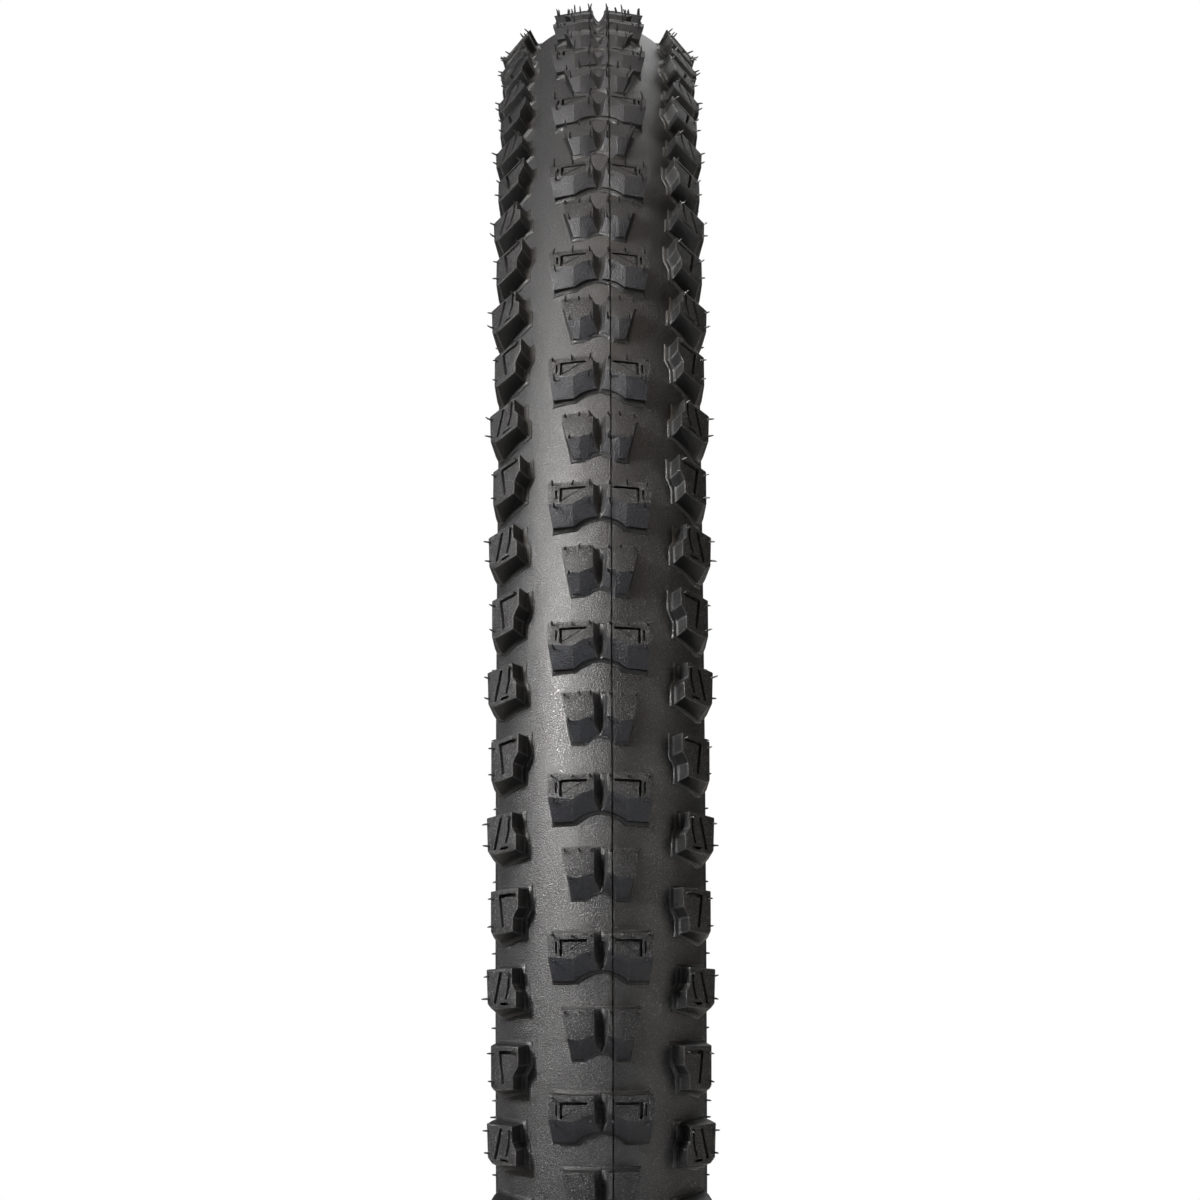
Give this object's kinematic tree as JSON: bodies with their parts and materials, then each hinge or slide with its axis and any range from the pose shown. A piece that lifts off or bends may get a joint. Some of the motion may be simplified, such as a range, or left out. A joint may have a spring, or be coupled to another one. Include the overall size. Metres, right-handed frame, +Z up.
{
  "type": "bicycle tire",
  "caption": "Knobbly off-road bicycle tire for a wide rim, open at the beads, with a ramped centre tread and raised shoulder knobs.",
  "frame": {"origin": "middle of the wheel: on the axle line, halfway between the two beads", "axes": "+Y along the axle line, +Z up, and the tire rolls towards +X"},
  "size_m": [0.714, 0.066, 0.714],
  "materials": {
    "tread_rubber": "matt moulded rubber with a fine grain, low sheen",
    "shoulder_rubber": "matt moulded rubber, slightly softer compound",
    "undertread_rubber": "matt rubber, never seen once built",
    "sidewall_rubber": "thin smooth matt rubber over fabric",
    "apex_rubber": "hard black rubber",
    "casing_fabric": "rubberised nylon cords",
    "armour_fabric": "close woven nylon",
    "liner_butyl": "smooth butyl",
    "bead_aramid": "bundled aramid yarn"
  },
  "bodies": {
    "root": {"centre_tread": "tread_rubber", "shoulder_tread_left": "shoulder_rubber", "shoulder_tread_right": "shoulder_rubber", "tread_base": "undertread_rubber", "breaker_belt": "armour_fabric", "casing_ply_outer": "casing_fabric", "casing_ply_inner": "casing_fabric", "inner_liner": "liner_butyl", "sidewall_left": "sidewall_rubber", "sidewall_right": "sidewall_rubber", "sidewall_armour_left": "armour_fabric", "sidewall_armour_right": "armour_fabric", "apex_filler_left": "apex_rubber", "apex_filler_right": "apex_rubber", "chafer_left": "sidewall_rubber", "chafer_right": "sidewall_rubber", "bead_wrap_left": "armour_fabric", "bead_wrap_right": "armour_fabric", "bead_core_left": "bead_aramid", "bead_core_right": "bead_aramid"}
  },
  "joints": []
}
